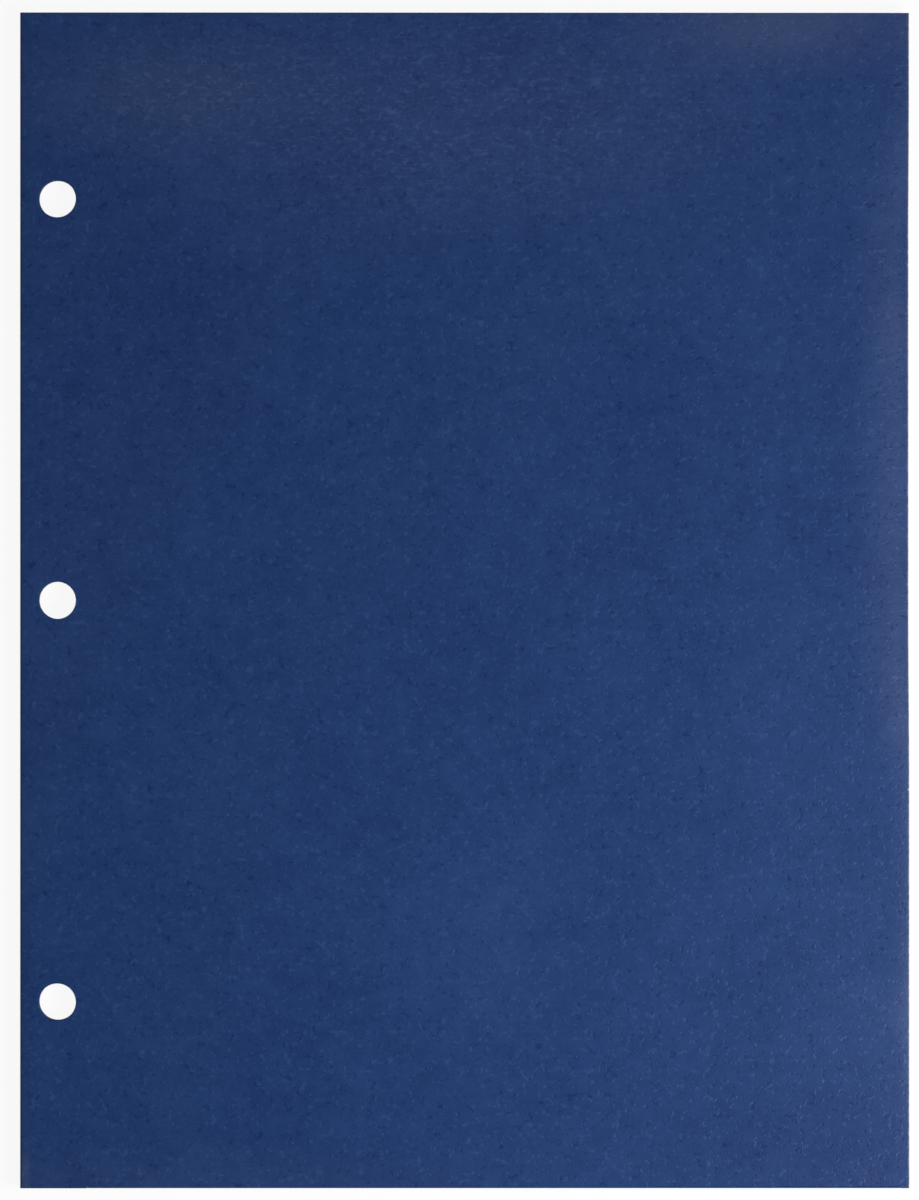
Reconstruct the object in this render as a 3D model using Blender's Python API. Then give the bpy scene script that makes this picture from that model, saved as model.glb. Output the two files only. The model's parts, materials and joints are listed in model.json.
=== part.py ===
"""Four pocket folder for letter paper, made of two die-cut sheets of scored card.

The cover sheet is a front cover, a spine and a back cover. The divider sheet is folded once at
its fore edge into two plies, glued back to back, and two narrow flanges bind it to the spine.
Each cover and each ply has a flap along its bottom edge, folded up over it as a pocket and held
at the fore edge by a glued tab.

The folder lies closed on its back cover. +Z is up, the spine is at -X and the top edge at +Y.
The origin is under the middle of the back cover. Sizes are in metres.
"""

import math
from dataclasses import dataclass

import bmesh
import bpy
from mathutils import Matrix, Vector

# The closed folder
FOLDER_WIDTH = 0.239
FOLDER_HEIGHT = 0.316
SHEET = 0.00035

# Holes for a three-ring binder
HOLE_COUNT = 3
HOLE_PITCH = 0.10795
HOLE_DIAMETER = 0.010
HOLE_INSET = 0.010

# Pockets
POCKET_HEIGHT = 0.107
POCKET_SPINE_INSET = 0.018
POCKET_FORE_INSET = 0.002
POCKET_SLANT = 0.006
POCKET_CORNER_RADIUS = 0.008
TAB_WIDTH = 0.012
TAB_TAPER = 0.008
TAB_LIFT = 0.00015

# Divider, smaller than the covers so that they hide it
DIVIDER_FORE_INSET = 0.003
DIVIDER_END_INSET = 0.002
FLANGE_BEND_RADIUS = 0.0003
PLY_GLUE_WIDTH = 0.008
PLY_GLUE_INSET = 0.020

# Glue, creases and clearances
GLUE = 0.0001
GLUE_CLEARANCE = 0.00005
GLUE_MARGIN = 0.0015
FLANGE_GLUE_MARGIN = 0.0002
CREASE_RADIUS = 0.000425
SCORE_GAP = 0.0003
LEAF_GAP = 0.0003

# Facets of a round
HOLE_STEPS = 48
BEND_STEPS = 8
CORNER_STEPS = 10

# Finish: linear colour and roughness
CARD_BLUE = (0.0185, 0.0452, 0.144)
CARD_ROUGHNESS = 0.62
GLUE_WHITE = (0.78, 0.77, 0.70)
GLUE_ROUGHNESS = 0.35

# Worked out from the sizes above
BOND = GLUE + 2 * GLUE_CLEARANCE
POCKET_GAP = BOND + SHEET + TAB_LIFT
POCKET_FOLD_REACH = POCKET_GAP / 2 + SHEET
TAB_BEND_REACH = TAB_LIFT / 2 + SHEET
DIVIDER_FOLD_REACH = BOND / 2 + SHEET
CREASE_REACH = CREASE_RADIUS + SHEET
FLANGE_REACH = FLANGE_BEND_RADIUS + SHEET

# Distances from the middle of the closed stack
PLY_OUTSIDE = BOND / 2 + SHEET
DIVIDER_POCKET_OUTSIDE = PLY_OUTSIDE + POCKET_GAP + SHEET
COVER_INSIDE = DIVIDER_POCKET_OUTSIDE + LEAF_GAP + SHEET + POCKET_GAP
MIDDLE = COVER_INSIDE + SHEET
SPINE_REACH = MIDDLE - CREASE_REACH - SCORE_GAP

# Edges of the sheets
SPINE_X = -FOLDER_WIDTH / 2
COVER_FORE_X = FOLDER_WIDTH / 2
COVER_END_Y = FOLDER_HEIGHT / 2
COVER_START_X = SPINE_X + CREASE_REACH + SCORE_GAP
FLANGE_X = SPINE_X + SHEET + BOND
PLY_START_X = FLANGE_X + FLANGE_REACH + SCORE_GAP
DIVIDER_FORE_X = COVER_FORE_X - DIVIDER_FORE_INSET
DIVIDER_END_Y = COVER_END_Y - DIVIDER_END_INSET
PLY_FORE_X = DIVIDER_FORE_X - DIVIDER_FOLD_REACH - SCORE_GAP
HINGE_X = SPINE_X + SHEET / 2


@dataclass
class Leaf:
    """A cover or a divider ply, and the side of it that its pocket is on."""

    name: str
    pocket: str
    body: bpy.types.Object
    face: float  # height of the face that the pocket lies on
    facing: int  # 1 where the pocket is above the leaf, -1 where it is below
    start_x: float
    fore_x: float
    end_y: float

    @property
    def pocket_start_x(self):
        return SPINE_X + POCKET_SPINE_INSET

    @property
    def pocket_fore_x(self):
        return self.fore_x - POCKET_FORE_INSET

    @property
    def fold_top_y(self):
        return -self.end_y + POCKET_FOLD_REACH

    @property
    def pocket_top_y(self):
        return -self.end_y + POCKET_HEIGHT

    def level(self, distance):
        """Height of a point that far from the leaf, on the pocket's side."""
        return self.face + self.facing * distance


def arc(centre, radius, start, end, steps):
    """Points of a circular arc in a plane, between two angles in degrees."""
    points = []
    for i in range(steps + 1):
        angle = math.radians(start + (end - start) * i / steps)
        points.append((centre[0] + radius * math.cos(angle), centre[1] + radius * math.sin(angle)))
    return points


def bend(centre, inner_radius, start, end):
    """Profile of the sheet where it bends: its outer arc one way, then its inner arc back."""
    outer = arc(centre, inner_radius + SHEET, start, end, BEND_STEPS)
    inner = arc(centre, inner_radius, end, start, BEND_STEPS)
    return outer + inner


def rounded(before, corner, after, radius):
    """Points of the arc that rounds a corner between its two neighbours."""
    corner = Vector(corner)
    to_before = (Vector(before) - corner).normalized()
    to_after = (Vector(after) - corner).normalized()
    half_angle = to_before.angle(to_after) / 2
    centre = corner + (to_before + to_after).normalized() * radius / math.sin(half_angle)
    first = corner + to_before * radius / math.tan(half_angle) - centre
    last = corner + to_after * radius / math.tan(half_angle) - centre
    start = math.degrees(math.atan2(first.y, first.x))
    turn = math.degrees(math.atan2(first.cross(last), first.dot(last)))
    return arc(centre, radius, start, start + turn, CORNER_STEPS)


def prism(outline, lift, holes=()):
    """A flat outline with holes in it, extruded by a vector into a closed solid."""
    solid = bmesh.new()
    edges = []
    for loop in [outline, *holes]:
        points = [solid.verts.new(point) for point in loop]
        for first, second in zip(points, points[1:] + points[:1]):
            edges.append(solid.edges.new((first, second)))
    bmesh.ops.triangle_fill(solid, use_beauty=True, edges=edges)
    grown = bmesh.ops.extrude_face_region(solid, geom=solid.faces[:])
    moved = [item for item in grown["geom"] if isinstance(item, bmesh.types.BMVert)]
    bmesh.ops.translate(solid, vec=lift, verts=moved)
    bmesh.ops.recalc_face_normals(solid, faces=solid.faces[:])
    return solid


def plate(outline, low, high, holes=()):
    """An outline in X and Y, as thick as the span between two heights."""
    loops = [[(x, y, low) for x, y in loop] for loop in [outline, *holes]]
    return prism(loops[0], (0, 0, high - low), loops[1:])


def along_x(profile, low, high):
    """A profile in Y and Z, extruded along X."""
    return prism([(low, y, z) for y, z in profile], (high - low, 0, 0))


def along_y(profile, low, high):
    """A profile in X and Z, extruded along Y."""
    return prism([(x, low, z) for x, z in profile], (0, high - low, 0))


def rectangle(low, high):
    return [(low[0], low[1]), (high[0], low[1]), (high[0], high[1]), (low[0], high[1])]


def new_material(name, colour, roughness):
    material = bpy.data.materials.new(name)
    material.use_nodes = True
    shader = material.node_tree.nodes["Principled BSDF"]
    shader.inputs["Base Color"].default_value = (*colour, 1)
    shader.inputs["Roughness"].default_value = roughness
    shader.inputs["Metallic"].default_value = 0
    material.diffuse_color = (*colour, 1)
    return material


def new_body(name, place, carrier=None):
    """An empty that carries a body's pieces. A cover's is on the axis that it turns about."""
    empty = bpy.data.objects.new(name, None)
    bpy.context.scene.collection.objects.link(empty)
    empty.location = place
    if carrier:
        parent_to(empty, carrier)
    return empty


def parent_to(child, carrier):
    """Parents without a change of place, because every location here is a world location."""
    child.parent = carrier
    child.matrix_parent_inverse = Matrix.Translation(-carrier.location)


def add_piece(name, solid, body, colour, roughness):
    """Makes an object of a solid, with its origin at its body's empty."""
    solid.transform(Matrix.Translation(-body.location))
    mesh = bpy.data.meshes.new(name)
    solid.to_mesh(mesh)
    solid.free()
    mesh.shade_smooth()
    mesh.set_sharp_from_angle(angle=math.radians(40))
    mesh.materials.append(new_material(name, colour, roughness))
    piece = bpy.data.objects.new(name, mesh)
    bpy.context.scene.collection.objects.link(piece)
    piece.location = body.location
    parent_to(piece, body)
    return piece


def add_card(name, solid, body):
    return add_piece(name, solid, body, CARD_BLUE, CARD_ROUGHNESS)


def add_glue(name, solid, body):
    return add_piece(name, solid, body, GLUE_WHITE, GLUE_ROUGHNESS)


def ring_holes():
    """The holes' outlines, in a row beside the spine."""
    holes = []
    for i in range(HOLE_COUNT):
        centre = (SPINE_X + HOLE_INSET, (i - (HOLE_COUNT - 1) / 2) * HOLE_PITCH)
        around = arc(centre, HOLE_DIAMETER / 2, 0, 360, HOLE_STEPS)
        holes.append(around[:-1])
    return holes


def add_leaf(leaf):
    """The flat card, cut back along its bottom edge where the pocket's fold leaves it."""
    notch_start = leaf.pocket_start_x - SCORE_GAP
    notch_end = leaf.pocket_fore_x + SCORE_GAP
    notch_top = leaf.fold_top_y + SCORE_GAP
    outline = [
        (leaf.start_x, -leaf.end_y),
        (notch_start, -leaf.end_y),
        (notch_start, notch_top),
        (notch_end, notch_top),
        (notch_end, -leaf.end_y),
        (leaf.fore_x, -leaf.end_y),
        (leaf.fore_x, leaf.end_y),
        (leaf.start_x, leaf.end_y),
    ]
    low, high = sorted([leaf.face, leaf.level(-SHEET)])
    add_card(leaf.name, plate(outline, low, high, ring_holes()), leaf.body)


def add_pocket_fold(leaf):
    """The half turn that brings the card from the leaf up into the flap."""
    centre = (leaf.fold_top_y, leaf.level(POCKET_GAP / 2))
    profile = bend(centre, POCKET_GAP / 2, 90, 270)
    solid = along_x(profile, leaf.pocket_start_x, leaf.pocket_fore_x)
    add_card(leaf.pocket + "_fold", solid, leaf.body)


def add_pocket_flap(leaf):
    """The pocket's front: straight along the mouth, slanted and rounded at its spine side."""
    bottom = leaf.fold_top_y + SCORE_GAP
    fore = leaf.pocket_fore_x - TAB_BEND_REACH - SCORE_GAP
    low_start = (leaf.pocket_start_x, bottom)
    low_fore = (fore, bottom)
    top_fore = (fore, leaf.pocket_top_y)
    top_start = (leaf.pocket_start_x + POCKET_SLANT, leaf.pocket_top_y)
    corner = rounded(top_fore, top_start, low_start, POCKET_CORNER_RADIUS)
    low, high = sorted([leaf.level(POCKET_GAP), leaf.level(POCKET_GAP + SHEET)])
    add_card(leaf.pocket, plate([low_start, low_fore, top_fore, *corner], low, high), leaf.body)


def tab_taper(leaf, x):
    """How far the tab's ends are cut back at a distance from its fold."""
    return TAB_TAPER * (leaf.pocket_fore_x - x) / TAB_WIDTH


def add_pocket_tab(leaf):
    """The flap's fore edge, turned in under it, with ends that taper towards its free side."""
    bend_x = leaf.pocket_fore_x - TAB_BEND_REACH
    free_x = leaf.pocket_fore_x - TAB_WIDTH
    centre = (bend_x, BOND + SHEET + TAB_LIFT / 2)
    turned = arc(centre, TAB_BEND_REACH, 90, -90, BEND_STEPS)
    back = arc(centre, TAB_LIFT / 2, -90, 90, BEND_STEPS)
    profile = [*turned, (free_x, BOND), (free_x, BOND + SHEET), *back]
    low = leaf.fold_top_y + SCORE_GAP
    high = leaf.pocket_top_y
    solid = along_y([(x, leaf.level(distance)) for x, distance in profile], low, high)
    middle = (low + high) / 2
    for point in solid.verts:
        cut = tab_taper(leaf, point.co.x)
        point.co.y += cut if point.co.y < middle else -cut
    bmesh.ops.recalc_face_normals(solid, faces=solid.faces[:])
    add_card(leaf.pocket + "_tab", solid, leaf.body)


def add_pocket_glue(leaf):
    """The film that holds the tab to the leaf."""
    start = leaf.pocket_fore_x - TAB_WIDTH + GLUE_MARGIN
    fore = leaf.pocket_fore_x - TAB_BEND_REACH - GLUE_MARGIN
    low = leaf.fold_top_y + SCORE_GAP + GLUE_MARGIN
    high = leaf.pocket_top_y - GLUE_MARGIN
    outline = [
        (start, low + tab_taper(leaf, start)),
        (fore, low + tab_taper(leaf, fore)),
        (fore, high - tab_taper(leaf, fore)),
        (start, high - tab_taper(leaf, start)),
    ]
    under, over = sorted([leaf.level(GLUE_CLEARANCE), leaf.level(GLUE_CLEARANCE + GLUE)])
    add_glue(leaf.pocket + "_glue", plate(outline, under, over), leaf.body)


def add_spine(body):
    """The strip between the covers, with a quarter turn of card along each of its edges."""
    strip = rectangle(
        (SPINE_X, MIDDLE - SPINE_REACH),
        (SPINE_X + SHEET, MIDDLE + SPINE_REACH),
    )
    add_card("spine", along_y(strip, -COVER_END_Y, COVER_END_Y), body)
    crease_x = SPINE_X + CREASE_REACH
    creases = {"front": (2 * MIDDLE - CREASE_REACH, 90), "back": (CREASE_REACH, 180)}
    for side, (height, start) in creases.items():
        profile = bend((crease_x, height), CREASE_RADIUS, start, start + 90)
        add_card(side + "_crease", along_y(profile, -COVER_END_Y, COVER_END_Y), body)


def add_flange(side, out, body):
    """A ply's binding edge, turned towards its cover and glued to the inside of the spine."""
    bend_at = (FLANGE_X + FLANGE_REACH, BOND / 2 + FLANGE_REACH)
    outer = arc(bend_at, FLANGE_REACH, 270, 180, BEND_STEPS)
    inner = arc(bend_at, FLANGE_BEND_RADIUS, 180, 270, BEND_STEPS)
    profile = [*outer, (FLANGE_X, SPINE_REACH), (FLANGE_X + SHEET, SPINE_REACH), *inner]
    raised = [(x, MIDDLE + out * distance) for x, distance in profile]
    flange = "divider_" + side + "_flange"
    add_card(flange, along_y(raised, -DIVIDER_END_Y, DIVIDER_END_Y), body)

    film_x = SPINE_X + SHEET + GLUE_CLEARANCE
    near = BOND / 2 + FLANGE_REACH + FLANGE_GLUE_MARGIN
    far = SPINE_REACH - FLANGE_GLUE_MARGIN
    film = rectangle((film_x, MIDDLE + out * near), (film_x + GLUE, MIDDLE + out * far))
    film_end_y = DIVIDER_END_Y - GLUE_MARGIN
    add_glue(flange + "_glue", along_y(film, -film_end_y, film_end_y), body)


def add_divider_fold(body):
    """The half turn at the fore edge that makes two plies of one sheet."""
    centre = (DIVIDER_FORE_X - DIVIDER_FOLD_REACH, MIDDLE)
    profile = bend(centre, BOND / 2, 90, -90)
    add_card("divider_fold", along_y(profile, -DIVIDER_END_Y, DIVIDER_END_Y), body)


def add_ply_glue(body):
    """Two upright strips of glue between the plies, clear of the ring holes."""
    starts = {
        "spine_side": SPINE_X + PLY_GLUE_INSET,
        "fore_side": PLY_FORE_X - GLUE_MARGIN - PLY_GLUE_WIDTH,
    }
    bottom = -DIVIDER_END_Y + POCKET_FOLD_REACH + SCORE_GAP + GLUE_MARGIN
    top = DIVIDER_END_Y - GLUE_MARGIN
    for side, start in starts.items():
        strip = rectangle((start, bottom), (start + PLY_GLUE_WIDTH, top))
        solid = plate(strip, MIDDLE - GLUE / 2, MIDDLE + GLUE / 2)
        add_glue("divider_glue_" + side, solid, body)


def build():
    for old in list(bpy.data.objects):
        bpy.data.objects.remove(old, do_unlink=True)

    spine = new_body("spine_body", Vector((HINGE_X, 0, MIDDLE)))
    front_cover = new_body("front_cover_axis", Vector((HINGE_X, 0, 2 * MIDDLE - SHEET / 2)), spine)
    back_cover = new_body("back_cover_axis", Vector((HINGE_X, 0, SHEET / 2)), spine)

    cover_edges = (COVER_START_X, COVER_FORE_X, COVER_END_Y)
    ply_edges = (PLY_START_X, PLY_FORE_X, DIVIDER_END_Y)
    leaves = [
        Leaf("front_cover", "front_pocket", front_cover, MIDDLE + COVER_INSIDE, -1, *cover_edges),
        Leaf("divider_front_ply", "divider_front_pocket", spine, MIDDLE + PLY_OUTSIDE, 1, *ply_edges),
        Leaf("divider_back_ply", "divider_back_pocket", spine, MIDDLE - PLY_OUTSIDE, -1, *ply_edges),
        Leaf("back_cover", "back_pocket", back_cover, MIDDLE - COVER_INSIDE, 1, *cover_edges),
    ]
    for leaf in leaves:
        add_leaf(leaf)
        add_pocket_fold(leaf)
        add_pocket_flap(leaf)
        add_pocket_tab(leaf)
        add_pocket_glue(leaf)

    add_spine(spine)
    add_flange("front", 1, spine)
    add_flange("back", -1, spine)
    add_divider_fold(spine)
    add_ply_glue(spine)


build()
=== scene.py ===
"""Looks of the four pocket folder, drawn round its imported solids.

Each leaf of card starts as its flat die-cut pattern. It is divided finely, folded at its score
lines, left to settle under its own weight and given its thickness. The closed folder lies on a
plain floor and is seen from straight above. Sizes are in metres, and places on the front cover are
measured from its middle.
"""

import json
import math
from dataclasses import dataclass

import bmesh
import bpy
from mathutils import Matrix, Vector


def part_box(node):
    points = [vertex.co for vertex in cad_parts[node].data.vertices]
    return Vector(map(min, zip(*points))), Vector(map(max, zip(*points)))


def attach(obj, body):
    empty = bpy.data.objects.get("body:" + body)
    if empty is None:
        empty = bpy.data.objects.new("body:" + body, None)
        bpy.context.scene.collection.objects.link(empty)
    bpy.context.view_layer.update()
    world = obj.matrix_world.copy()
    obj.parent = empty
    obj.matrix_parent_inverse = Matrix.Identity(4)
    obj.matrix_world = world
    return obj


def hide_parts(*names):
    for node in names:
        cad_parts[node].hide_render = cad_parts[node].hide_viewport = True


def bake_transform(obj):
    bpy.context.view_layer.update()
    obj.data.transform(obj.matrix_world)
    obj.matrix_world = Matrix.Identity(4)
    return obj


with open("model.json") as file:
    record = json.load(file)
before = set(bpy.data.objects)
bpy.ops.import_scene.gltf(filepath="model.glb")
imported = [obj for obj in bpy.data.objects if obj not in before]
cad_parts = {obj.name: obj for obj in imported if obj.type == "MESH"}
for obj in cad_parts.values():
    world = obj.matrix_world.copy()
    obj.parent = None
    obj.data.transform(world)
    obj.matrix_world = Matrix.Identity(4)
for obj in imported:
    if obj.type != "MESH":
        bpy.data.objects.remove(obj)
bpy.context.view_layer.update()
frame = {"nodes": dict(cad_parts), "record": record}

# Axes across and along the cover, and their directions
X, Y = 0, 1
AXES = (Vector((1, 0, 0)), Vector((0, 1, 0)))

# Sizes read from the solids
COVER_LOW, COVER_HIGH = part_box("front_cover")
SPINE_EDGE_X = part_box("spine")[0].x
SHEET = COVER_HIGH.z - COVER_LOW.z
FORE_X = COVER_HIGH.x
END_Y = COVER_HIGH.y
POCKET_TOP_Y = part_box("front_pocket")[1].y

# Sizes of the die cut that a solid's box doesn't give
HOLE_RADIUS = 0.005
POCKET_SLANT = 0.006
POCKET_CORNER_RADIUS = 0.008
TAB_TAPER = 0.008
RELIEF = 0.00004  # cut between the pocket's fold and the card beside it

# Edge of a punched hole
RIM_WIDTH = 0.0007
RIM_DEPTH = 0.00005
RIM_STEPS = 3

# How finely the card is divided
CELL = 0.008
FORE_CELL = 0.001
FORE_CELLS = 16
LEAST_CELL = 0.00002  # of two lines nearer than this, one is left out
BEND_STEPS = 10
HOLE_STEPS = 64
CORNER_STEPS = 12
SHARP_ANGLE = math.radians(40)
WELD_DISTANCE = 1e-6  # points nearer than this become one
TINY = 1e-7  # for rounding errors

# How the front cover settles, as the drop at its fore edge
SETTLE_START_X = SPINE_EDGE_X + 0.018
SETTLE_OVER_POCKETS = 0.0004
SETTLE_ABOVE_POCKETS = 0.0018
SETTLE_POWER = 1.5
SETTLE_RAMP = 0.120  # length over which the drop grows, up from the pockets' mouths
DIVIDER_SHARE = 0.5  # of the front cover's settling

# The front cover's fore edge, bent down a little, most of all where no pocket stiffens it
CURL_WIDTH = 0.016
CURL_SLOPE = 0.18  # at the edge
CURL_BOTTOM_Y = (POCKET_TOP_Y, POCKET_TOP_Y + 0.045)
CURL_TOP_Y = (END_Y - 0.063, END_Y - 0.023)
CURL_LEFT_AT_TOP = 0.25  # share of the slope
EDGE_CURL_WIDTH = 0.005
EDGE_CURL_SLOPE = 0.09
EDGE_CURL_BOTTOM_Y = (-END_Y, -END_Y + 0.040)

# The solids of each pocket, and the body and share of settling of each strip of glue
POCKET_PARTS = ("", "_fold", "_tab")
GLUE_STRIPS = {
    "front_pocket_glue": ("front_cover", 1),
    "divider_front_pocket_glue": ("spine", DIVIDER_SHARE),
    "divider_back_pocket_glue": ("spine", DIVIDER_SHARE),
    "divider_glue_spine_side": ("spine", DIVIDER_SHARE),
    "divider_glue_fore_side": ("spine", DIVIDER_SHARE),
    "divider_front_flange_glue": ("spine", 0),
    "divider_back_flange_glue": ("spine", 0),
    "back_pocket_glue": ("back_cover", 0),
}

# Colours, linear
CARD_BLUE = (0.0095, 0.0365, 0.138, 1)
CARD_LIGHT = (0.0185, 0.0545, 0.178, 1)
CARD_DARK = (0.0005, 0.0185, 0.098, 1)
# the next colour paints the light streaks of a sheen on the face's relief
SHEEN_STREAK_BLUE = (0.060, 0.110, 0.270, 1)
CARD_CORE = (0.56, 0.57, 0.58, 1)
GLUE_WHITE = (0.78, 0.77, 0.70, 1)
FLOOR_WHITE = (0.9, 0.9, 0.9, 1)
WHITE = (1, 1, 1, 1)

# Noise: its scales are per metre, and its detail is a number of octaves and their roughness
NOISE_MIDDLE = 0.5
PLAIN_DETAIL = (1, 0.5)

# The card's face
PATTERN_MAP = "pattern"  # the UV map, which keeps each point's place on the flat pattern
CARD_SEEDS = {"front_card": 1, "back_card": 2, "divider_card": 3, "front_card_inside": 4}
LIGHT_FIBRES = (340, 500)
DARK_FIBRES = (310, 540)
FIBRE_WIDTH = 0.075  # of the noise's range
FIBRE_PIECES = 1.2  # scale of the breaks, for a scale of 1 of the fibres
FIBRE_BREAK = (0.58, 0.68)
LIGHT_CONTRAST = 0.55
DARK_CONTRAST = 0.42
FIBRE_HEIGHT = 0.00003
MOTTLE_SCALE = 130
MOTTLE_DETAIL = (4, 0.9)
MOTTLE_RANGE = (0.39, 0.61)
MOTTLE_SHADE = (0.365, 0.635)
MOTTLE_HEIGHT = 1.0  # of the fibres'
CLOUD_SCALE = 30
CLOUD_RANGE = (0.2, 0.8)
CLOUD_SHADE = (-0.11, 0.11)
SPECK_SCALE = 1700
SPECK_RANGE = (0.74, 0.80)
SPECK_STRENGTH = 0.09
FACE_ROUGHNESS = (0.37, 0.29)  # where it is dark, and where it is light
CARD_SPECULAR = 0.13

# Wear of the card: how near an edge or a fold it starts, and how strong it is along each
WEAR_REACH = 0.0006
FORE_WEAR = 0.9
END_WEAR = 0.6
CREASE_WEAR = 0.5
FOLD_WEAR = 0.5
MOUTH_WEAR = 0.8
GRIT_SCALE = 800
GRIT_DETAIL = (3, 0.65)
GRIT_WEIGHT = 0.9
WORN_RANGE = (1.0, 1.4)
WORN_MOST = 0.6

# Scuffs of the front cover, as place, reach and strength: a nick and a knocked corner
SCUFFS = (
    ((FORE_X, -0.0508), (0.0009, 0.0009), 1.3),
    ((SPINE_EDGE_X, -0.1564), (0.0006, 0.0006), 1.1),
)

# Painted light and shade: places of the front cover a little lighter or darker, as the lamps'
# falloff and the fore edge's sheen make them, as place, reach and change of shade
FRONT_PAINTED_LIGHT = (
    ((0.000, -0.090), (0.035, 0.055), 0.16),
    ((-0.082, 0.063), (0.040, 0.055), -0.15),
    ((0.083, -0.144), (0.055, 0.035), -0.13),
    ((0.090, -0.027), (0.030, 0.060), 0.09),
    ((0.111, 0.043), (0.014, 0.040), 0.13),
    ((0.109, -0.110), (0.018, 0.020), 0.17),
    ((0.115, -0.046), (0.008, 0.040), 0.14),
)

# Painted sheen, as place, reach, how grey and how streaked: along the fore edge, and the front
# cover's own patches of it
FORE_EDGE_PAINTED_SHEEN = ((FORE_X, 0), (0.0009, 2.0), 0.045, 0)  # reaches far past both ends, so it is even
FRONT_PAINTED_SHEEN = (
    ((-0.079, 0.1370), (0.056, 0.024), 0.019, 0.30),
    ((0.085, 0.1550), (0.052, 0.018), 0.039, 0.15),
    ((-0.005, 0.1300), (0.125, 0.045), 0.014, 0.45),
    ((-0.065, -0.1575), (0.095, 0.014), 0.009, 0),
    ((FORE_X - 0.003, 0.0725), (0.008, 0.014), 0.013, 0.15),
    ((FORE_X - 0.003, -0.0320), (0.008, 0.022), 0.014, 0.15),
    ((FORE_X - 0.003, -0.1100), (0.009, 0.012), 0.009, 0.15),
    ((SPINE_EDGE_X + 0.0016, -0.1532), (0.0022, 0.0075), 0.035, 0.15),
)
# Streaks of the painted sheen: their scales, and how far they are stretched across the card
SHEEN_STREAK_FIBRES = (350, 500, 700, 1000)
SHEEN_STREAK_STRETCH = 2

# The cut edge of the card and the dried glue
PULP_SCALE = (2600, 2600, 9000)
PULP_DETAIL = (3, 0.6)
PULP_INK = 3.0  # of the card's blue
PULP_PALE = 0.85  # of the core's colour
PULP_ROUGHNESS = (0.65, 0.85)
PULP_HEIGHT = 0.00004
GLUE_SCALE = (400, 400, 400)
GLUE_DETAIL = (3, 0.5)
GLUE_DULL = 0.85  # of the glue's white
GLUE_ROUGHNESS = (0.28, 0.45)
GLUE_HEIGHT = 0.00003
GLUE_SPECULAR = 0.5
GRAIN_RANGE = (0.3, 0.7)

# The stage
FLOOR_SIZE = 8.0
FLOOR_GLOW = 0.92  # of the white that the floor shows by itself; the rest is light and shadow
AMBIENT = 0.15
KEY_PLACE = (0.348, -0.226, 0.47)
KEY_AIM = (0, 0, 0)
KEY_SIZE = (0.3, 0.3)
KEY_WATTS = 3.5
SHEEN_PLACE = (0.54, 0.04, 1.00)
SHEEN_AIM = (0.05, 0.02, 0)
SHEEN_SIZE = (0.3, 0.5)
SHEEN_WATTS = 1.7

# The photograph's framing
IMAGE_HEIGHT_PX = 1200
METRES_PER_PX = 0.00026873
LENS_MM = 300
SENSOR_MM = 36
CAMERA_X = -0.0014
CAMERA_Y = 0.0001


@dataclass
class Turn:
    """A bend of the card: where it starts on the pattern, its radius at mid thickness, its angle."""

    start: float
    radius: float
    angle: float

    @property
    def length(self):
        return self.radius * self.angle

    def place(self, distance):
        """How far ahead of the start a point ends up, and how high, if it lies that far past it."""
        turned = min(distance / self.radius, self.angle)
        straight = distance - self.radius * turned
        ahead = self.radius * math.sin(turned) + straight * math.cos(turned)
        rise = self.radius * (1 - math.cos(turned)) + straight * math.sin(turned)
        return ahead, rise

    def lines(self, side):
        """Pattern lines across the bend, on one side of its start."""
        return [self.start + side * self.length * i / BEND_STEPS for i in range(BEND_STEPS + 1)]


def half_turn(node, axis, side):
    """Reads a half turn from its solid, which reaches out along an axis, to one side."""
    low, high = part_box(node)
    reach = (high.z - low.z) / 2
    edge = high[axis] if side > 0 else low[axis]
    return Turn(edge - side * reach, reach - SHEET / 2, math.pi)


def quarter_turn(node):
    """Reads the quarter turn at a leaf's spine side from its solid."""
    low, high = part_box(node)
    return Turn(high.x, high.x - low.x - SHEET / 2, math.pi / 2)


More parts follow.
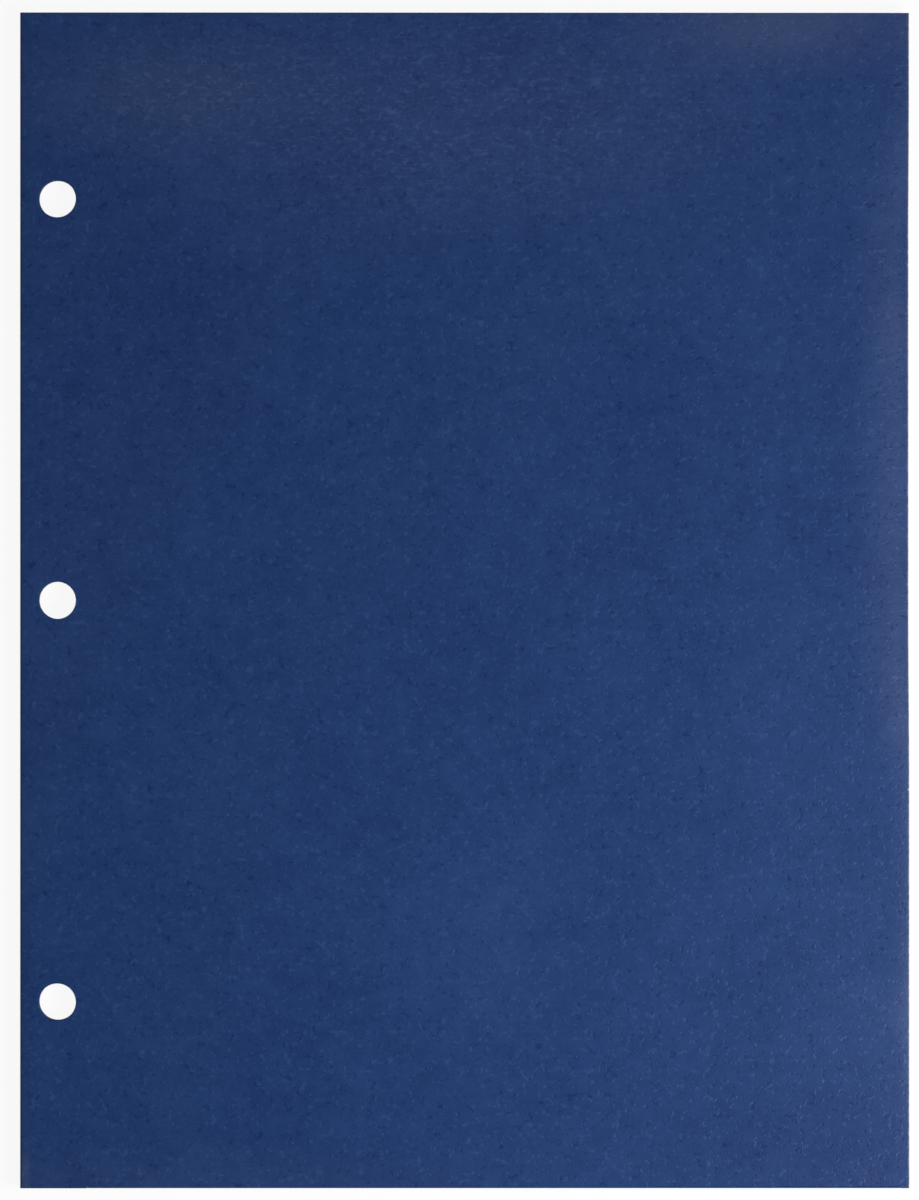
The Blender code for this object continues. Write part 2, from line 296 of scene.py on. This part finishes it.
class Leaf:
    """A cover or a divider ply with its pocket, measured on the solids that it stands for.

    On its flat pattern p runs across and q along the leaf, as x and y do in the folder. turned_at is
    the solid of its bend at the spine, past which the card goes on by spine_run. share is how much
    of the front cover's settling it takes part in.
    """

    def __init__(self, panel, pocket, turned_at, spine_run, share):
        low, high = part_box(panel)
        flap_low, flap_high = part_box(pocket)
        self.middle = (low.z + high.z) / 2
        self.facing = 1 if flap_low.z > low.z else -1
        self.share = share
        self.end_y = high.y
        self.crease = quarter_turn(turned_at)
        self.left = self.crease.start - self.crease.length - spine_run
        self.right = high.x
        self.fore_fold = None
        self.pocket_start_x = flap_low.x
        self.pocket_fold = half_turn(pocket + "_fold", Y, -1)
        self.tab_bend = half_turn(pocket + "_tab", X, 1)
        self.tab_run = self.tab_bend.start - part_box(pocket + "_tab")[0].x
        self.flap_q = self.pocket_fold.start - self.pocket_fold.length
        self.mouth_q = self.flap_q - (flap_high.y - self.pocket_fold.start)

    def fold_at_fore_edge(self, node):
        """The ply goes on round half of its fold, to meet the other ply there."""
        self.fore_fold = half_turn(node, X, 1)
        self.fore_fold.angle = math.pi / 2
        self.right = self.fore_fold.start + self.fore_fold.length

    def is_flap(self, p, q):
        """True past the pocket's fold, and not on the leaf's own corners beside it."""
        beside = RELIEF / 2
        over_fold = self.pocket_start_x - beside < p < self.tab_bend.start + beside
        return q < self.pocket_fold.start and (over_fold or q < -self.end_y - beside)

    def folded(self, point):
        """Where a point of the flat pattern lies in the settled folder."""
        x, y, pressed = point
        rise = 0
        if self.is_flap(x, y):
            past_tab = x - self.tab_bend.start
            ahead, rise = self.pocket_fold.place(self.pocket_fold.start - y)
            y = self.pocket_fold.start - ahead
            if past_tab > 0:
                ahead, back = self.tab_bend.place(past_tab)
                x = self.tab_bend.start + ahead
                rise -= back
        elif x < self.crease.start:
            ahead, rise = self.crease.place(self.crease.start - x)
            x = self.crease.start - ahead
        elif self.fore_fold and x > self.fore_fold.start:
            ahead, back = self.fore_fold.place(x - self.fore_fold.start)
            x = self.fore_fold.start + ahead
            rise = -back
        drop, inward = settled(x, y)
        height = self.middle + self.facing * (rise + pressed)
        return Vector((x - self.share * inward, y, height - self.share * drop))


def ramp(value, start, end):
    """Goes smoothly from 0 to 1."""
    t = min(max((value - start) / (end - start), 0), 1)
    return t * t * (3 - 2 * t)


def curl(x, y):
    """How far the fore edge is bent down at a place, and its slope there, which grows evenly."""
    free = ramp(y, *CURL_BOTTOM_Y) * (1 - (1 - CURL_LEFT_AT_TOP) * ramp(y, *CURL_TOP_Y))
    rolled = ramp(y, *EDGE_CURL_BOTTOM_Y)
    bends = ((CURL_WIDTH, CURL_SLOPE * free), (EDGE_CURL_WIDTH, EDGE_CURL_SLOPE * rolled))
    drop = 0
    slope = 0
    for width, edge_slope in bends:
        past = max(x - FORE_X + width, 0)
        drop += edge_slope * past ** 2 / (2 * width)
        slope += edge_slope * past / width
    return drop, slope


def settled(x, y):
    """How far a place of the front cover has come down, and in from its fore edge.

    The pockets hold the cover up along its bottom. A strip that bends evenly reaches less far by a
    third of its drop times its end's slope. It is drawn in by half its thickness times that slope
    too, because tilting brings its upper edge out.
    """
    across = max(x - SETTLE_START_X, 0) / (FORE_X - SETTLE_START_X)
    above = ramp(y, POCKET_TOP_Y, POCKET_TOP_Y + SETTLE_RAMP)
    sag = SETTLE_OVER_POCKETS + (SETTLE_ABOVE_POCKETS - SETTLE_OVER_POCKETS) * above
    bent, slope = curl(x, y)
    return sag * across ** SETTLE_POWER + bent, slope * (bent / 3 + SHEET / 2)


def arc(centre, radius, start, turn, steps):
    """Points of a circular arc. Angles are in radians."""
    points = []
    for i in range(steps + 1):
        angle = start + turn * i / steps
        points.append((centre[0] + radius * math.cos(angle), centre[1] + radius * math.sin(angle)))
    return points


def rounded(before, corner, after, radius):
    """Points of the arc that rounds a corner between its two neighbours."""
    corner = Vector(corner)
    to_before = (Vector(before) - corner).normalized()
    to_after = (Vector(after) - corner).normalized()
    half_angle = to_before.angle(to_after) / 2
    centre = corner + (to_before + to_after).normalized() * radius / math.sin(half_angle)
    first = corner + to_before * radius / math.tan(half_angle) - centre
    last = corner + to_after * radius / math.tan(half_angle) - centre
    turn = math.atan2(first.cross(last), first.dot(last))
    return arc(centre, radius, math.atan2(first.y, first.x), turn, CORNER_STEPS)


def hole_centres():
    """The ring holes' places, from the openings that the record states."""
    centres = []
    for opening in frame["record"]["physics"]["openings"]:
        low, high = opening["box_m"]
        centres.append(Vector(((low[0] + high[0]) / 2, (low[1] + high[1]) / 2)))
    return centres


def leaf_outline(leaf):
    """The leaf's cut edge on the flat pattern, with its flap below it and the tab on the flap."""
    tab_out = leaf.tab_bend.start + leaf.tab_bend.length
    tab_free = tab_out + leaf.tab_run
    tab_low = leaf.flap_q - RELIEF
    flap_start = (leaf.pocket_start_x, leaf.flap_q)
    mouth_start = (leaf.pocket_start_x + POCKET_SLANT, leaf.mouth_q)
    mouth_end = (tab_out, leaf.mouth_q)
    return [
        (leaf.left, -leaf.end_y),
        (leaf.pocket_start_x - RELIEF, -leaf.end_y),
        (leaf.pocket_start_x - RELIEF, leaf.pocket_fold.start),
        (leaf.pocket_start_x, leaf.pocket_fold.start),
        flap_start,
        *rounded(flap_start, mouth_start, mouth_end, POCKET_CORNER_RADIUS),
        mouth_end,
        (tab_free, leaf.mouth_q + TAB_TAPER),
        (tab_free, tab_low - TAB_TAPER),
        (tab_out, tab_low),
        (leaf.tab_bend.start, tab_low),
        (leaf.tab_bend.start, leaf.pocket_fold.start),
        (leaf.tab_bend.start + RELIEF, leaf.pocket_fold.start),
        (leaf.tab_bend.start + RELIEF, -leaf.end_y),
        (leaf.right, -leaf.end_y),
        (leaf.right, leaf.end_y),
        (leaf.left, leaf.end_y),
    ]


def even_lines(start, end, pitch):
    """Lines at a pitch between two places, without the ends."""
    count = math.ceil((end - start) / pitch)
    return [start + (end - start) * i / count for i in range(1, count)]


def spaced(lines):
    """Leaves out each line that comes too near one before it."""
    kept = []
    for line in lines:
        if all(abs(line - other) > LEAST_CELL for other in kept):
            kept.append(line)
    return kept


def grid_lines(leaf):
    """Pattern lines that the leaf is divided along, for its bends and for its settled shape."""
    fine_start = leaf.right - FORE_CELL * FORE_CELLS
    p_lines = leaf.crease.lines(-1) + leaf.tab_bend.lines(1)
    if leaf.fore_fold:
        p_lines += leaf.fore_fold.lines(1)
    p_lines += even_lines(leaf.crease.start, fine_start, CELL)
    p_lines += even_lines(fine_start - FORE_CELL, leaf.right, FORE_CELL)
    q_lines = leaf.pocket_fold.lines(-1)
    q_lines += even_lines(leaf.mouth_q, leaf.flap_q, CELL)
    q_lines += even_lines(leaf.pocket_fold.start, leaf.end_y, CELL)
    return spaced(p_lines), spaced(q_lines)


def is_slanted(edge):
    """True for an edge that runs neither across nor along the leaf."""
    run = edge.verts[0].co - edge.verts[1].co
    return min(abs(run.x), abs(run.y)) > TINY


def is_idle(point):
    """True for a point with two edges only, which go straight on."""
    if len(point.link_edges) != 2:
        return False
    before, after = [edge.other_vert(point).co for edge in point.link_edges]
    run = (after - before).normalized()
    return (point.co - before).cross(run).length < TINY


def cut_across(mesh, axis, place):
    """Divides a mesh along the plane that crosses an axis at a place."""
    geometry = mesh.verts[:] + mesh.edges[:] + mesh.faces[:]
    across = AXES[axis]
    bmesh.ops.bisect_plane(mesh, geom=geometry, dist=TINY, plane_co=across * place, plane_no=across)


def cut_card(leaf):
    """The leaf's flat pattern, with wide holes, divided along its grid lines."""
    card = bmesh.new()
    loops = [leaf_outline(leaf)]
    for centre in hole_centres():
        loops.append(arc(centre, HOLE_RADIUS + RIM_WIDTH, 0, 2 * math.pi, HOLE_STEPS)[:-1])
    edges = []
    for loop in loops:
        points = [card.verts.new((*point, 0)) for point in loop]
        for pair in zip(points, points[1:] + points[:1]):
            edges.append(card.edges.new(pair))
    bmesh.ops.triangle_fill(card, use_beauty=True, edges=edges)
    for axis, lines in zip((X, Y), grid_lines(leaf)):
        for line in lines:
            cut_across(card, axis, line)
    slanted = [edge for edge in card.edges if not edge.is_boundary and is_slanted(edge)]
    bmesh.ops.dissolve_edges(card, edges=slanted)
    bmesh.ops.dissolve_verts(card, verts=[point for point in card.verts if is_idle(point)])
    return card


def press_rims(card):
    """Brings each hole's edge in to its real radius and presses it in, as the punch does."""
    outer = HOLE_RADIUS + RIM_WIDTH
    for centre in hole_centres():
        rim = []
        for edge in card.edges:
            if all((point.co.xy - centre).length < outer + TINY for point in edge.verts):
                rim.append(edge)
        for step in range(1, RIM_STEPS + 1):
            share = step / RIM_STEPS
            grown = bmesh.ops.extrude_edge_only(card, edges=rim)["geom"]
            points = {item for item in grown if isinstance(item, bmesh.types.BMVert)}
            rim = [
                item
                for item in grown
                if isinstance(item, bmesh.types.BMEdge) and points.issuperset(item.verts)
            ]
            for point in points:
                place = centre + (point.co.xy - centre).normalized() * (outer - RIM_WIDTH * share)
                point.co = (*place, RIM_DEPTH * share ** 2)


def folded_card(leaf):
    """The leaf as a sheet without thickness, with its flat pattern kept as its UV map.

    Its faces look away from the side that the pocket folds to, so a cover's look outwards.
    """
    card = cut_card(leaf)
    press_rims(card)
    card.normal_update()
    for face in card.faces:
        if face.normal.z * leaf.facing > 0:
            face.normal_flip()
    pattern = card.loops.layers.uv.new(PATTERN_MAP)
    for face in card.faces:
        for corner in face.loops:
            corner[pattern].uv = corner.vert.co.xy
    for point in card.verts:
        point.co = leaf.folded(point.co)
    return card


def new_piece(name, data):
    """Puts a mesh, a lamp or a camera into the scene."""
    piece = bpy.data.objects.new(name, data)
    bpy.context.scene.collection.objects.link(piece)
    return piece


def make_sheet(name, leaves, outside, inside, core):
    """One sheet of card, of one leaf or of two that meet at the fore edge."""
    sheet = bmesh.new()
    for leaf in leaves:
        card = folded_card(leaf)
        leaf_mesh = bpy.data.meshes.new("leaf")
        card.to_mesh(leaf_mesh)
        card.free()
        sheet.from_mesh(leaf_mesh)
        bpy.data.meshes.remove(leaf_mesh)
    bmesh.ops.remove_doubles(sheet, verts=sheet.verts[:], dist=WELD_DISTANCE)
    mesh = bpy.data.meshes.new(name)
    sheet.to_mesh(mesh)
    sheet.free()
    for material in (outside, core, inside):
        mesh.materials.append(material)
    piece = new_piece(name, mesh)
    thicken(piece)
    return piece


def thicken(piece):
    """Gives a sheet its thickness, half of it to each side.

    Its outside keeps the first material, its cut edges get the second and its inside the third.
    """
    solidify = piece.modifiers.new("card", "SOLIDIFY")
    solidify.thickness = SHEET
    solidify.offset = 0
    solidify.use_even_offset = True
    solidify.material_offset_rim = 1
    solidify.material_offset = 2
    graph = bpy.context.evaluated_depsgraph_get()
    thick = bpy.data.meshes.new_from_object(piece.evaluated_get(graph))
    piece.modifiers.clear()
    piece.data = thick
    thick.shade_smooth()
    thick.set_sharp_from_angle(angle=SHARP_ANGLE)


class Nodes:
    """The nodes of a material or of the world, added and linked by short calls."""

    def __init__(self, owner):
        owner.use_nodes = True
        self.tree = owner.node_tree

    def put(self, socket, value):
        """Sets a socket, or links it where the value is another node's output."""
        if isinstance(value, bpy.types.NodeSocket):
            self.tree.links.new(value, socket)
        else:
            socket.default_value = value

    def add(self, kind, inputs, **settings):
        """Adds a node and returns its outputs."""
        node = self.tree.nodes.new("ShaderNode" + kind)
        for setting, value in settings.items():
            setattr(node, setting, value)
        for socket, value in inputs.items():
            self.put(node.inputs[socket], value)
        return node.outputs

    def math(self, operation, *values):
        return self.add("Math", dict(enumerate(values)), operation=operation)[0]

    def total(self, *terms):
        """Sum of values, each with its weight."""
        whole = 0
        for value, weight in terms:
            whole = self.math("MULTIPLY_ADD", value, weight, whole)
        return whole

    def remap(self, value, old_range, new_range=(0, 1), **settings):
        """Brings a value from one range to another and holds it there."""
        inputs = {"Value": value}
        inputs.update({"From Min": old_range[0], "From Max": old_range[1]})
        inputs.update({"To Min": new_range[0], "To Max": new_range[1]})
        return self.add("MapRange", inputs, **settings)[0]

    def mix(self, factor, first, second):
        """Mixes two colours, which are the node's sockets 6 and 7 and its output 2."""
        return self.add("Mix", {0: factor, 6: first, 7: second}, data_type="RGBA")[2]

    def mapped(self, vector, scale, location):
        return self.add("Mapping", {"Vector": vector, "Scale": scale, "Location": location})[0]

    def noise(self, vector, scale, seed, detail=PLAIN_DETAIL):
        """Noise with its own scale along each axis, from a place of its own."""
        octaves, roughness = detail
        placed = self.mapped(vector, scale, (seed, 2 * seed, 0))
        inputs = {"Vector": placed, "Scale": 1, "Detail": octaves, "Roughness": roughness}
        return self.add("TexNoise", inputs)[0]

    def patch(self, vector, place, reach):
        """1 at a place, going smoothly to 0 at its reach along each axis."""
        scale = (1 / reach[0], 1 / reach[1], 1)
        centred = self.mapped(vector, scale, (-place[0] / reach[0], -place[1] / reach[1], 0))
        distance = self.add("VectorMath", {0: centred}, operation="LENGTH")["Value"]
        return self.remap(distance, (0, 1), (1, 0), interpolation_type="SMOOTHSTEP")

    def finish(self, colour, roughness, specular, height, depth):
        """Gives the surface its colour, gloss and relief."""
        relief = self.add("Bump", {"Height": height, "Distance": depth})[0]
        inputs = {"Base Color": colour, "Roughness": roughness}
        inputs.update({"Specular IOR Level": specular, "Normal": relief})
        for socket, value in inputs.items():
            self.put(self.tree.nodes["Principled BSDF"].inputs[socket], value)


def tint(colour, share):
    """A share of a colour's light."""
    return (*(channel * share for channel in colour[:3]), 1)


def in_plane(scale):
    """The same scale across and along the flat pattern."""
    return (scale, scale, 1)


def fibres(nodes, pattern, scales, seed, stretch=1):
    """Thin curled lines of a few sizes, broken into short pieces and stretched across the card."""
    across = nodes.mapped(pattern, (1 / stretch, 1, 1), (0, 0, 0))
    whole = 0
    for scale in scales:
        course = nodes.noise(across, in_plane(scale), seed + scale)
        off_line = nodes.math("ABSOLUTE", nodes.math("SUBTRACT", course, NOISE_MIDDLE))
        line = nodes.remap(off_line, (0, FIBRE_WIDTH), (1, 0))
        gaps = nodes.noise(across, in_plane(FIBRE_PIECES * scale), seed + 2 * scale)
        piece = nodes.math("MULTIPLY", line, nodes.remap(gaps, FIBRE_BREAK))
        whole = nodes.math("MAXIMUM", piece, whole)
    return whole


def painted_sheen(nodes, pattern, painted_sheens):
    """Painted sheen: how grey and how streaked the face is painted where light glances off it."""
    sheen_greys = []
    sheen_streaks = []
    for place, reach, sheen_grey, sheen_streaked in painted_sheens:
        near = nodes.patch(pattern, place, reach)
        sheen_greys.append((near, sheen_grey))
        sheen_streaks.append((near, sheen_streaked))
    return nodes.total(*sheen_greys), nodes.total(*sheen_streaks)


def worn(nodes, pattern, leaf, scuffs, seed):
    """How far the face is worn off its core: along edges and folds, and at scuffs."""
    place = nodes.add("SeparateXYZ", {0: pattern})
    p, q = place["X"], place["Y"]
    lines = (
        (p, leaf.right, FORE_WEAR),
        (p, leaf.crease.start - leaf.crease.length / 2, CREASE_WEAR),
        (q, leaf.end_y, END_WEAR),
        (q, leaf.pocket_fold.start - leaf.pocket_fold.length / 2, FOLD_WEAR),
        (q, leaf.mouth_q, MOUTH_WEAR),
    )
    most = 0
    for coordinate, line, strength in lines:
        distance = nodes.math("ABSOLUTE", nodes.math("SUBTRACT", coordinate, line))
        most = nodes.math("MAXIMUM", nodes.remap(distance, (0, WEAR_REACH), (strength, 0)), most)
    for centre, reach, strength in scuffs:
        near = nodes.math("MULTIPLY", nodes.patch(pattern, centre, reach), strength)
        most = nodes.math("MAXIMUM", near, most)
    grit = nodes.noise(pattern, in_plane(GRIT_SCALE), seed, GRIT_DETAIL)
    return nodes.remap(nodes.total((most, 1), (grit, GRIT_WEIGHT)), WORN_RANGE, (0, WORN_MOST))


def card_material(name, leaf, painted_light=(), painted_sheens=(), scuffs=()):
    """Blue card with a fibrous face, worn to its pale core at edges, with a painted sheen that greys
    and streaks it in places, and painted light and shade where it is given.
    """
    seed = CARD_SEEDS[name]
    material = bpy.data.materials.new(name)
    nodes = Nodes(material)
    pattern = nodes.add("UVMap", {}, uv_map=PATTERN_MAP)[0]
    light = fibres(nodes, pattern, LIGHT_FIBRES, seed)
    dark = fibres(nodes, pattern, DARK_FIBRES, seed)
    grain = nodes.noise(pattern, in_plane(MOTTLE_SCALE), seed, MOTTLE_DETAIL)
    mottle = nodes.remap(grain, MOTTLE_RANGE, MOTTLE_SHADE)
    clouds = nodes.remap(nodes.noise(pattern, in_plane(CLOUD_SCALE), seed), CLOUD_RANGE, CLOUD_SHADE)
    terms = [(mottle, 1), (clouds, 1), (light, LIGHT_CONTRAST), (dark, -DARK_CONTRAST)]
    # Painted light and shade: patches that make the face lighter or darker where the lamps light it
    # more or less
    terms += [(nodes.patch(pattern, place, reach), change) for place, reach, change in painted_light]
    shade = nodes.total(*terms)
    colour = nodes.mix(shade, CARD_DARK, CARD_LIGHT)

    # Painted sheen: the face greyed and streaked where it would reflect the lamps
    sheen_grey, sheen_streaked = painted_sheen(nodes, pattern, (FORE_EDGE_PAINTED_SHEEN, *painted_sheens))
    sheen_streaks = fibres(nodes, pattern, SHEEN_STREAK_FIBRES, seed, SHEEN_STREAK_STRETCH)
    colour = nodes.mix(nodes.math("MULTIPLY", sheen_streaked, sheen_streaks), colour, SHEEN_STREAK_BLUE)

    specks = nodes.noise(pattern, in_plane(SPECK_SCALE), seed)
    # Pale specks, the painted sheen's grey and the wear each mix the colour towards the pale core
    for amount in (
        nodes.remap(specks, SPECK_RANGE, (0, SPECK_STRENGTH)),
        sheen_grey,
        worn(nodes, pattern, leaf, scuffs, seed),
    ):
        colour = nodes.mix(amount, colour, CARD_CORE)
    roughness = nodes.remap(shade, (0, 1), FACE_ROUGHNESS)
    height = nodes.total((light, 1), (dark, -1), (mottle, MOTTLE_HEIGHT))
    nodes.finish(colour, roughness, CARD_SPECULAR, height, FIBRE_HEIGHT)
    return material


def core_material():
    """The cut edge of the card: pale pulp, stained with the face's ink."""
    material = bpy.data.materials.new("card_core")
    nodes = Nodes(material)
    place = nodes.add("TexCoord", {})["Object"]
    pulp = nodes.remap(nodes.noise(place, PULP_SCALE, seed=0, detail=PULP_DETAIL), GRAIN_RANGE)
    colour = nodes.mix(pulp, tint(CARD_BLUE, PULP_INK), tint(CARD_CORE, PULP_PALE))
    roughness = nodes.remap(pulp, (0, 1), PULP_ROUGHNESS)
    nodes.finish(colour, roughness, CARD_SPECULAR, pulp, PULP_HEIGHT)
    return material


def glue_material():
    """Dried white glue, a little uneven."""
    material = bpy.data.materials.new("dried_glue")
    nodes = Nodes(material)
    place = nodes.add("TexCoord", {})["Object"]
    flow = nodes.remap(nodes.noise(place, GLUE_SCALE, seed=0, detail=GLUE_DETAIL), GRAIN_RANGE)
    colour = nodes.mix(flow, tint(GLUE_WHITE, GLUE_DULL), GLUE_WHITE)
    roughness = nodes.remap(flow, (0, 1), GLUE_ROUGHNESS)
    nodes.finish(colour, roughness, GLUE_SPECULAR, flow, GLUE_HEIGHT)
    return material


def pocket_nodes(pocket):
    """Names of a pocket's solids."""
    return [pocket + part for part in POCKET_PARTS]


def build_front_sheet(core):
    """The front cover with its pocket, its crease and the spine, as one sheet in its rest shape,
    turned through the crease.
    """
    spine_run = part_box("front_crease")[0].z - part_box("back_crease")[1].z
    leaf = Leaf("front_cover", "front_pocket", "front_crease", spine_run, share=1)
    outside = card_material("front_card", leaf, FRONT_PAINTED_LIGHT, FRONT_PAINTED_SHEEN, SCUFFS)
    inside = card_material("front_card_inside", leaf)
    piece = make_sheet("front_cover_sheet", [leaf], outside, inside, core)
    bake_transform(piece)
    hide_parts("front_cover", "front_crease", "spine", *pocket_nodes("front_pocket"))


def build_back_sheet(core):
    """The back cover with its pocket and its crease, as one sheet in its rest shape, turned through
    the crease.
    """
    leaf = Leaf("back_cover", "back_pocket", "back_crease", spine_run=0, share=0)
    face = card_material("back_card", leaf)
    piece = make_sheet("back_cover_sheet", [leaf], face, face, core)
    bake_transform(piece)
    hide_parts("back_cover", "back_crease", *pocket_nodes("back_pocket"))


def build_divider_sheet(core):
    """The divider's two plies, joined at the fore edge, with a pocket and a flange on each."""
    plies = []
    replaced = ["divider_fold"]
    for side in ("front", "back"):
        panel = "divider_" + side + "_ply"
        pocket = "divider_" + side + "_pocket"
        flange = "divider_" + side + "_flange"
        low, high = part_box(flange)
        spine_run = high.z - low.z - (high.x - low.x)
        ply = Leaf(panel, pocket, flange, spine_run, DIVIDER_SHARE)
        ply.fold_at_fore_edge("divider_fold")
        plies.append(ply)
        replaced += [panel, flange, *pocket_nodes(pocket)]
    face = card_material("divider_card", plies[0])
    piece = make_sheet("divider_sheet", plies, face, face, core)
    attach(piece, "spine")
    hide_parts(*replaced)


def build_glue():
    """A film for each glue solid, divided along its length and settled with its leaf."""
    material = glue_material()
    for node, (body, share) in GLUE_STRIPS.items():
        low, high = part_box(node)
        film = bmesh.new()
        film.from_mesh(frame["nodes"][node].data)
        bmesh.ops.remove_doubles(film, verts=film.verts[:], dist=WELD_DISTANCE)
        for line in even_lines(low.y, high.y, CELL):
            cut_across(film, Y, line)
        for point in film.verts:
            point.co.z -= share * settled(point.co.x, point.co.y)[0]
        mesh = bpy.data.meshes.new(node + "_film")
        film.to_mesh(mesh)
        film.free()
        mesh.materials.clear()
        mesh.materials.append(material)
        piece = new_piece(node + "_film", mesh)
        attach(piece, body)
        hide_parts(node)


def seen_directly(nodes):
    """1 for rays that show a thing, straight or by reflection, and 0 for those that light others."""
    path = nodes.add("LightPath", {})
    shown = nodes.math("MAXIMUM", path["Is Camera Ray"], path["Is Glossy Ray"])
    return nodes.math("MAXIMUM", shown, path["Is Transmission Ray"])


def build_floor():
    """A plain floor that looks white and takes the folder's shadow."""
    mesh = bpy.data.meshes.new("floor")
    half = FLOOR_SIZE / 2
    corners = [(-half, -half, 0), (half, -half, 0), (half, half, 0), (-half, half, 0)]
    mesh.from_pydata(corners, [], [(0, 1, 2, 3)])
    material = bpy.data.materials.new("floor")
    nodes = Nodes(material)
    nodes.tree.nodes.remove(nodes.tree.nodes["Principled BSDF"])
    plain = nodes.add("BsdfDiffuse", {"Color": FLOOR_WHITE})[0]
    glow = nodes.add("Emission", {"Color": WHITE})[0]
    white = nodes.add("MixShader", {0: FLOOR_GLOW, 1: plain, 2: glow})[0]
    choice = nodes.add("MixShader", {0: seen_directly(nodes), 1: plain, 2: white})[0]
    nodes.put(nodes.tree.nodes["Material Output"].inputs["Surface"], choice)
    mesh.materials.append(material)
    new_piece("floor", mesh)


def build_world():
    """White where it is seen, and a low even light."""
    world = bpy.data.worlds.new("studio")
    bpy.context.scene.world = world
    nodes = Nodes(world)
    light = nodes.add("Background", {"Color": WHITE, "Strength": AMBIENT})[0]
    white = nodes.add("Background", {"Color": WHITE})[0]
    choice = nodes.add("MixShader", {0: seen_directly(nodes), 1: light, 2: white})[0]
    nodes.put(nodes.tree.nodes["World Output"].inputs["Surface"], choice)


def add_lamp(name, place, aim, size, watts):
    """A soft rectangular lamp, which the camera doesn't see."""
    lamp = bpy.data.lights.new(name, "AREA")
    lamp.shape = "RECTANGLE"
    lamp.size, lamp.size_y = size
    lamp.energy = watts
    piece = new_piece(name, lamp)
    piece.location = place
    piece.rotation_euler = (Vector(aim) - Vector(place)).to_track_quat("-Z", "Y").to_euler()
    piece.visible_camera = False


def build_lights():
    """A soft lamp past the fore edge, and a weak high one that the curled edge reflects."""
    add_lamp("key_lamp", KEY_PLACE, KEY_AIM, KEY_SIZE, KEY_WATTS)
    add_lamp("sheen_lamp", SHEEN_PLACE, SHEEN_AIM, SHEEN_SIZE, SHEEN_WATTS)


def build_camera():
    """Looks straight down from far off, as a long lens does."""
    camera = bpy.data.cameras.new("camera")
    camera.lens = LENS_MM
    camera.sensor_fit = "VERTICAL"
    camera.sensor_height = SENSOR_MM
    distance = IMAGE_HEIGHT_PX * METRES_PER_PX * LENS_MM / SENSOR_MM
    piece = new_piece("camera", camera)
    piece.location = (CAMERA_X, CAMERA_Y, COVER_HIGH.z + distance)
    bpy.context.scene.camera = piece


build_camera()
card_edge = core_material()
build_front_sheet(card_edge)
build_back_sheet(card_edge)
build_divider_sheet(card_edge)
build_glue()
build_floor()
build_world()
build_lights()
bpy.context.scene.view_settings.view_transform = "Standard"
